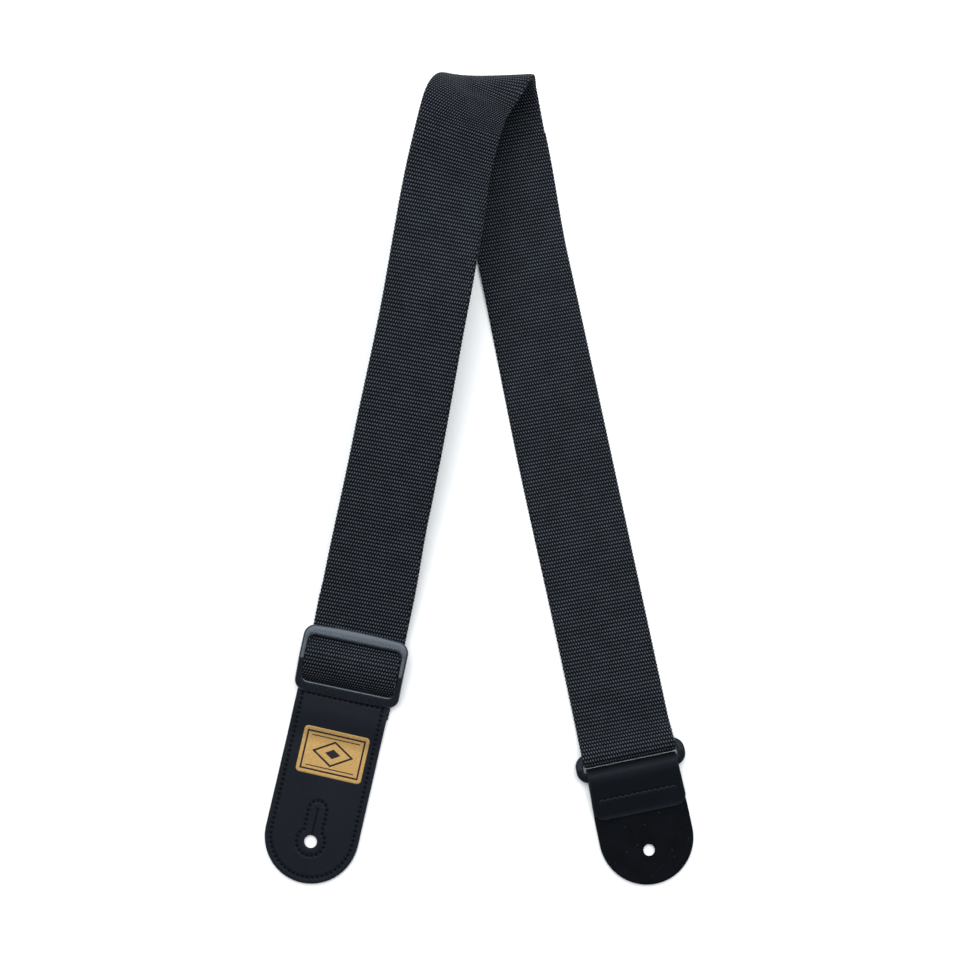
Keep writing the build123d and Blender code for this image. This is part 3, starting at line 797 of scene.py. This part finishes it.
# ------------------------------------------------------------------ the adjuster and the ring
def plane(origin, across, down, up=UP):
    """Places u across a flat piece, v back up it and n off it."""

    def place(u, v, n):
        u, v, n = (np.asarray(k, float)[..., None] for k in (u, v, n))
        return origin + across * u - down * v + up * n

    return place


def ridged(height, upper, lower):
    """A surface that is highest along its middle line, and falls (or climbs) by those slopes off it."""
    return lambda points: height - np.where(points[:, 1] > 0, upper, lower) * np.abs(points[:, 1])


def rounded_box(width, height, radius, lift=0.0):
    """Outline of a rectangle with round corners."""
    x, y = width / 2 - radius, height / 2 - radius
    corners = ((x, y, 0), (-x, y, 90), (-x, -y, 180), (x, -y, 270))
    return np.vstack([arc((cx, cy + lift), radius, start, start + 90, 12) for cx, cy, start in corners])


def bowed_box(width, height, radius, upper, lower):
    """A rounded box whose long sides bow outward by that much at their middles."""
    box = rounded_box(width, height, radius)
    line = np.vstack([spaced([p, q], 1.0)[:-1] for p, q in zip(box, np.roll(box, -1, axis=0))])
    line[:, 1] += np.where(line[:, 1] > 0, upper, -lower) * (1 - (line[:, 0] / (width / 2)) ** 2)
    return line


adjuster = plane(slider_centre, left_across, left_down, left_up)
plate(
    "adjuster_frame", "slider_frame",
    bowed_box(width=57.2, height=35.9, radius=5.6, upper=1.3, lower=0.65),
    [rounded_box(width=50.4, height=24.9, radius=3.4, lift=0.3)],
    ridged(FRAME_HIGH, upper=0.17, lower=0.15), flat_at(FRAME_LOW),
    adjuster, SLIDE_PLASTIC, "slider", grid=1.6, edge=1.0,
)

ring_centre = fold_point + right_down * (UPPER_BAR + LOWER_BAR) / 2 + UP * BAR_HEIGHT
plate(
    "end_ring_moulding", "end_ring", rounded_box(width=59.4, height=14.9, radius=6.4),
    [rounded_box(width=51.2, height=4.9, radius=1.2)],
    ridged(2.05, upper=0.1, lower=0.1), ridged(-1.8, upper=-0.04, lower=-0.04),
    plane(ring_centre, right_across, right_down), RING_PLASTIC, "ring",
    grid=1.2, edge=0.9,
)

# ------------------------------------------------------------------ left tab
SKEW = math.radians(-0.7)  # how far the left tab is turned from the webbing's line
ASIDE = 1.2  # and how far it is off that line's middle
BUTTON_RADIUS = 3.5
SLIT_END = 17.0  # from the middle of the button hole
STITCH = 2.6
INSET = 3.2  # of the stitches from the tabs' edges
SEWN_HALF = TAB_HALF - INSET

tab_down = left_plan * math.cos(SKEW) + np.cross(UP, left_plan) * math.sin(SKEW)
tab_across = np.array([-tab_down[1], tab_down[0], 0.0])
tab_origin = slider_plan + left_plan * STITCH_ROW - left_across * ASIDE
left_tab = plane(tab_origin, tab_across, tab_down)


def tab_outline(top_y, centre_y):
    """Straight sides and a round end."""
    return np.vstack([[(TAB_HALF, top_y), (-TAB_HALF, top_y)], arc((0, centre_y), TAB_HALF, 180, 360, 60)])


def button_hole(hole_y, radius=BUTTON_RADIUS):
    return arc((0, hole_y), radius, 0, 360, 40)[:-1]


def slit_line(hole_y):
    """The closed slit above a button hole."""
    return spaced([(0.0, hole_y + BUTTON_RADIUS + 0.4), (0.0, hole_y + SLIT_END)], 0.55)


def edge_row(start_y, centre_y):
    """Needle holes down one side of a tab, round its end and up the other side."""
    end = arc((0, centre_y), SEWN_HALF, 180, 360, 40)
    return spaced([(-SEWN_HALF, start_y), *end, (SEWN_HALF, start_y)], STITCH)


def keyhole_row(hole_y, top_y=None):
    """Needle holes round the button hole and up its slit: round the slit's end, or open at top_y."""
    gap, radius = 4.9, 7.5
    open_angle = math.degrees(math.asin(gap / radius))
    line = arc((0, 0), radius, 90 + open_angle, 450 - open_angle, 40)
    if top_y is None:
        line = np.vstack([line, arc((0, SLIT_END), gap, 0, 180, 16), line[:1]])
    else:
        line = np.vstack([[(-gap, top_y)], line, [(gap, top_y)]])
    return spaced(line, STITCH) + [0, hole_y]


def sewn(base, rows, groove=0.06, pit=1.0, bore=0.46, slit=None, cut=0.7):
    """A surface with its stitch lines pressed in, a pit at each needle hole, and perhaps a slit."""
    holes = np.vstack(rows)

    def surface(points):
        near = distance_to(points, rows)
        gap = np.sqrt(((points[:, None, :] - holes[None, :, :]) ** 2).sum(2)).min(1)
        level = base(points) + 0.03 * np.exp(-(((near - 1.5) / 0.6) ** 2))
        level = level - groove * np.exp(-((near / 0.45) ** 2)) - pit * np.exp(-((gap / bore) ** 2))
        if slit is not None:
            end = np.linalg.norm(points - slit[-1], axis=1)
            level = level - cut * np.exp(-((distance_to(points, [slit]) / 0.24) ** 2))
            level = level - 0.5 * cut * np.exp(-((end / 0.6) ** 2))
        return level

    return surface


LEATHER_THICK = 1.3
TAB_FACE = BACKING + LEATHER_THICK  # height of the smooth face, clear of the webbing's end
LEFT_CENTRE = -73.7  # of the round end, from the stitches across the tab
LEFT_DROP = 3.4  # from there to the middle of the button hole
EMBLEM_AT = (1.2, -29.7)


def face_level(points):
    """The left tab's face: it climbs over the end of the webbing, and is never quite flat."""
    climb = THICK * (1 - rise(-points[:, 1], 6.3, 26.0))
    wave = 0.05 * np.sin(points[:, 0] * 0.13 + 1.0) * np.sin(points[:, 1] * 0.07)
    return TAB_FACE + climb + wave


def face_raised(amount, shift=(0.0, 0.0)):
    """The left tab's face, raised by that much, seen from a place shifted along it."""
    return lambda points: face_level(points + shift) + amount


left_hole = LEFT_CENTRE - LEFT_DROP
left_outline = tab_outline(5.0, LEFT_CENTRE)
left_slit = slit_line(left_hole)
left_edge = edge_row(-1.6, LEFT_CENTRE)
left_cross = spaced([(-SEWN_HALF, 0.0), (SEWN_HALF, 0.0)], 3.0)
left_keyhole = keyhole_row(left_hole)
left_surface = sewn(face_level, [left_edge, left_keyhole], slit=left_slit)
left_surface = sewn(left_surface, [left_cross], groove=0.1, pit=0.9, bore=0.5)
plate(
    "left_tab_leather", "left_tab_face", left_outline, [button_hole(left_hole)],
    left_surface, face_raised(-LEATHER_THICK), left_tab, LEATHER, "strap",
    needles=np.vstack([left_edge, left_cross, left_keyhole, left_slit]),
)
plate(
    "left_tab_suede", "left_tab_backing", left_outline, [button_hole(left_hole)],
    flat_at(BACKING - 0.02), flat_at(0.0), left_tab, SUEDE, "strap", grid=1.4, edge=0.3,
)
for part, row in (("edge", left_edge), ("cross", left_cross), ("slit", left_keyhole)):
    thread(
        f"left_{part}_thread", f"left_{part}_stitching", [row], face_level, left_tab, SHADED_THREAD,
        "strap",
    )
emblem_origin = tab_origin + tab_across * EMBLEM_AT[0] - tab_down * EMBLEM_AT[1]
plate(
    "emblem", "emblem_foil", rounded_box(width=36.0, height=25.0, radius=2.2), [],
    face_raised(0.11, EMBLEM_AT), face_raised(-0.08, EMBLEM_AT),
    plane(emblem_origin, tab_across, tab_down), FOIL, "strap", grid=1.0, edge=0.06,
)

# ------------------------------------------------------------------ right tab
RIGHT_STRAIGHT = 36.3  # from the ring's bar to the middle of the round end
RIGHT_DROP = 7.3  # from there to the middle of the button hole
HALF_LEATHER = LEATHER_THICK / 2
FLAP_TOP = TAB_FACE + HALF_LEATHER
FLAP_STITCH, FLAP_WANDER = 1.6, 0.4
NECK = 24.5  # half the leather's width where it goes round the ring's bar
NECK_SUEDE = 24.74  # half the suede's width at its straight end
CORNER = 6.0  # radius of the flap's corners
SUEDE_TOP, SUEDE_WIDE, SUEDE_SEWN = -9.0, -24.0, -24.5  # its straight edge, full width, first stitches

# The leather is one sheet: flat under the suede, round the ring's bar and down over the suede's end.
# Its own flat plan is measured from the round end.
reach = RIGHT_STRAIGHT + TAB_HALF
leather_radius = 3.4 + THICK - HALF_LEATHER
neck_top = BAR_HEIGHT + leather_radius
right_bar = fold_point + right_down * LOWER_BAR
right_tab = plane(right_bar, right_across, right_down)
round_bar = arc((0.0, BAR_HEIGHT), leather_radius, 270, 90, 40)
flap_corners = [(0.0, neck_top), (3.0, neck_top - 0.2), (21.5, FLAP_TOP), (23.5, FLAP_TOP)]
flap_line = rounded(flap_corners, 14.0)[1:]
tab_path = Path(right_bar, right_down, right_across, [(reach, HALF_LEATHER), *round_bar, *flap_line])


def flap_at(distance):
    """Where on the flat leather a place that far down the flap is."""
    flap = slice(-len(flap_line), None)
    return float(np.interp(distance, tab_path.points[flap, 0], tab_path.lengths[flap]))


flap_end, flap_sewn = tab_path.length, flap_at(12.5)
wide_low, neck_low, neck_high = reach - 24.0, reach - 2.0, flap_at(2.0)
leather_outline = np.vstack([
    arc((0, TAB_HALF), TAB_HALF, 180, 360, 60),
    [(TAB_HALF, wide_low), (NECK, neck_low), (NECK, neck_high)],
    arc((TAB_HALF - CORNER, flap_end - CORNER), CORNER, 0, 90, 12),
    arc((CORNER - TAB_HALF, flap_end - CORNER), CORNER, 90, 180, 12),
    [(-NECK, neck_high), (-NECK, neck_low), (-TAB_HALF, wide_low)],
])
flap_row = spaced([(-TAB_HALF + 4.4, flap_sewn), (TAB_HALF - 4.4, flap_sewn)], FLAP_STITCH)
flap_row[:, 1] += FLAP_WANDER * (-1.0) ** np.arange(len(flap_row))
smooth_side = flat_at(HALF_LEATHER)
plate(
    "right_tab_leather", "right_tab_face", leather_outline, [button_hole(TAB_HALF - RIGHT_DROP)],
    sewn(smooth_side, [flap_row], groove=0.1, pit=0.3), flat_at(-HALF_LEATHER),
    tab_path, SHADED_LEATHER, "right_tab", needles=flap_row,
)

right_hole = -RIGHT_STRAIGHT - RIGHT_DROP
right_edge = edge_row(SUEDE_SEWN, -RIGHT_STRAIGHT)
right_keyhole = keyhole_row(right_hole, top_y=SUEDE_SEWN - right_hole)
right_slit = slit_line(right_hole)
right_rows = [right_edge, right_keyhole]
nap_level = flat_at(TAB_FACE)
wide = tab_outline(SUEDE_WIDE, -RIGHT_STRAIGHT)
suede_outline = np.vstack([[(NECK_SUEDE, SUEDE_TOP), (-NECK_SUEDE, SUEDE_TOP)], wide[1:], wide[:1]])
plate(
    "right_tab_suede", "right_tab_backing", suede_outline, [button_hole(right_hole, 3.1)],
    sewn(nap_level, right_rows, groove=0.0, pit=0.06, slit=right_slit, cut=0.2),
    flat_at(LEATHER_THICK + 0.02), right_tab, SUEDE, "right_tab", edge=0.45,
    needles=np.vstack([*right_rows, right_slit]),
)
for part, row in (("edge", right_edge), ("slit", right_keyhole)):
    thread(
        f"right_{part}_thread", f"right_{part}_stitching", [row], nap_level, right_tab, SHADED_THREAD,
        "right_tab", arch=0.16,
    )
thread(
    "flap_thread", "right_flap_stitching", [flap_row], smooth_side, tab_path, RAISED_THREAD, "right_tab",
    radius=0.26, arch=0.45, sunk=0.2,
)

# ------------------------------------------------------------------ the webbing's sewn end
box = [(-21, 9), (21, 9), (21, 31), (-21, 31), (-21, 9)]
cross = [[(-18, 11), (18, 29)], [(18, 11), (-18, 29)]]
under_adjuster = plane(slider_centre, -left_across, left_down, -left_up)
thread(
    "tail_thread", "tail_stitching", [spaced(line, 3.0) + [TAIL_SHIFT, 0] for line in (box, *cross)],
    flat_at(-TAIL + 0.72), under_adjuster, RAISED_THREAD, "slider", radius=0.3, arch=0.4, sunk=0.2,
)

# ------------------------------------------------------------------ pieces baked in place, and the back webbing given its own mesh
def metres(point):
    return tuple(float(k) for k in np.asarray(point) * MM)


for piece in (under_webbing, upper_webbing):
    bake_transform(piece)

anchor = strap(np.array(0.0), np.array(T3), np.array(-LAYER))
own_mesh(back_webbing)


# ------------------------------------------------------------------ floor, light and camera
def paper_look():
    look = Look("pale_paper", Specular_IOR_Level=0.1)
    fibre = look.noise(look.place(), 0.4, 4.0)
    colour = look.colour(fibre, (0.90, 0.90, 0.90), (0.93, 0.93, 0.93))
    return look.done(colour, 0.9, look.bump(fibre, 0.02, 0.2))


FLOOR_HALF, FLOOR_LEVEL = 3.0, -0.0004
corners = [(x * FLOOR_HALF, y * FLOOR_HALF, FLOOR_LEVEL) for x, y in ((-1, -1), (1, -1), (1, 1), (-1, 1))]
floor_mesh = bpy.data.meshes.new("floor")
floor_mesh.from_pydata(corners, [], [(0, 1, 2, 3)])
floor_mesh.materials.append(paper_look())
floor = bpy.data.objects.new("floor", floor_mesh)
bpy.context.scene.collection.objects.link(floor)


def area_light(name, place, target, width, height, energy):
    data = bpy.data.lights.new(name, "AREA")
    data.shape = "RECTANGLE"
    data.size, data.size_y = width, height
    data.energy = energy
    data.color = (0.95, 0.98, 1.0)
    light = bpy.data.objects.new(name, data)
    light.location = place
    light.rotation_euler = (Vector(target) - Vector(place)).to_track_quat("-Z", "Y").to_euler()
    bpy.context.scene.collection.objects.link(light)


area_light("softbox", (0.0, 0.45, 1.5), (0.0, 0.45, 0.0), 1.8, 1.5, 46.0)
area_light("back", (0.0, 1.5, 0.8), (0.0, 0.1, 0.0), 1.6, 0.6, 7.0)

world = bpy.data.worlds.new("studio")
world.use_nodes = True
background = world.node_tree.nodes["Background"]
background.inputs["Color"].default_value = (1.0, 1.0, 1.0, 1.0)
background.inputs["Strength"].default_value = 0.16
bpy.context.scene.world = world
bpy.context.scene.view_settings.view_transform = "Standard"

# The photo's viewpoint: nearly straight down, a little from the tabs' side
AIM = fold_point - [10.47, 197.37, 0.0]
TILT = math.radians(6.42)
DISTANCE = 810.4
SPIN = math.radians(-0.16)
camera_data = bpy.data.cameras.new("camera")
camera_data.sensor_width = 36.0
camera_data.lens = 55.3
camera = bpy.data.objects.new("camera", camera_data)
back = Vector((0.0, -math.sin(TILT), math.cos(TILT)))
side = Vector((1.0, 0.0, 0.0))
spin = Matrix.Rotation(SPIN, 3, back)
basis = Matrix((spin @ side, spin @ back.cross(side), back)).transposed()
camera.matrix_world = Matrix.Translation(Vector(metres(AIM)) + back * DISTANCE * MM) @ basis.to_4x4()
bpy.context.scene.collection.objects.link(camera)
bpy.context.scene.camera = camera

bpy.context.view_layer.update()
